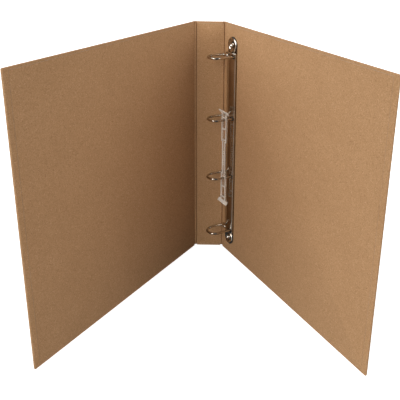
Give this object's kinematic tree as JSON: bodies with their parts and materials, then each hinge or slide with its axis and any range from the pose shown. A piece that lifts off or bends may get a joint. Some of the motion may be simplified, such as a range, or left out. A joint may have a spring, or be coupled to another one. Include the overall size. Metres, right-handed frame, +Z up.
{
  "type": "ring binder",
  "caption": "Kraft-covered A4 binder standing open, with a row of D rings, a clear compressor bar and paper-hinged covers.",
  "frame": {"origin": "on the surface the binder stands on, at the middle of the spine's width and thickness", "axes": "+Z up along the spine and the fold lines, +X from the front cover towards the back cover, the covers open towards -Y"},
  "size_m": [0.3432, 0.2598, 0.318],
  "materials": {
    "kraft_paper": "matt, fine fibre speckle",
    "greyboard": "matt",
    "nickel_plate": "bright nickel plate",
    "spring_steel": "satin, oiled",
    "clear_plastic": "clear, glossy"
  },
  "bodies": {
    "spine": {"spine_board": "greyboard", "spine_outer_paper": "kraft_paper", "spine_liner": "kraft_paper", "front_gutter_outer_paper": "kraft_paper", "front_gutter_inner_paper": "kraft_paper", "back_gutter_outer_paper": "kraft_paper", "back_gutter_inner_paper": "kraft_paper"},
    "front_cover": {"front_board": "greyboard", "front_outer_paper": "kraft_paper", "front_liner": "kraft_paper"},
    "back_cover": {"back_board": "greyboard", "back_outer_paper": "kraft_paper", "back_liner": "kraft_paper", "mechanism_casing": "nickel_plate", "top_rivet": "nickel_plate", "bottom_rivet": "nickel_plate", "top_rivet_cap": "nickel_plate", "bottom_rivet_cap": "nickel_plate"},
    "curved_rings": {"curved_ring_rail": "spring_steel", "curved_ring_half_1": "nickel_plate", "curved_ring_half_2": "nickel_plate", "curved_ring_half_3": "nickel_plate", "curved_ring_half_4": "nickel_plate"},
    "straight_posts": {"straight_post_rail": "spring_steel", "straight_post_1": "nickel_plate", "straight_post_2": "nickel_plate", "straight_post_3": "nickel_plate", "straight_post_4": "nickel_plate"},
    "compressor": {"compressor_bar": "clear_plastic"}
  },
  "joints": [
    {"name": "front_cover_hinge", "type": "hinge", "parent": "spine", "child": "front_cover", "pos_m": [-0.02, 0.0013, 0], "axis": [0, 0, -1], "range_deg": [-30.4, 149.6], "deforming": ["front_gutter_outer_paper", "front_gutter_inner_paper"]},
    {"name": "back_cover_hinge", "type": "hinge", "parent": "spine", "child": "back_cover", "pos_m": [0.02, 0.0013, 0], "axis": [0, 0, 1], "range_deg": [-30.4, 149.6], "deforming": ["back_gutter_outer_paper", "back_gutter_inner_paper"]},
    {"name": "ring_opening", "type": "hinge", "parent": "back_cover", "child": "curved_rings", "pos_m": [0.02371, -0.01357, 0], "axis": [0, 0, -1], "range_deg": [0, 11]},
    {"name": "straight_post_opening", "type": "hinge", "parent": "back_cover", "child": "straight_posts", "pos_m": [0.03252, -0.02857, 0], "axis": [0, 0, -1], "range_deg": [-11, 0]},
    {"name": "compressor_slide", "type": "slide", "parent": "straight_posts", "child": "compressor", "axis": [-0.8625, -0.506, 0], "range_m": [-0.005, 0.007]}
  ],
  "couplings": [
    {"joint": "straight_post_opening", "follows": "ring_opening", "ratio": -1}
  ]
}
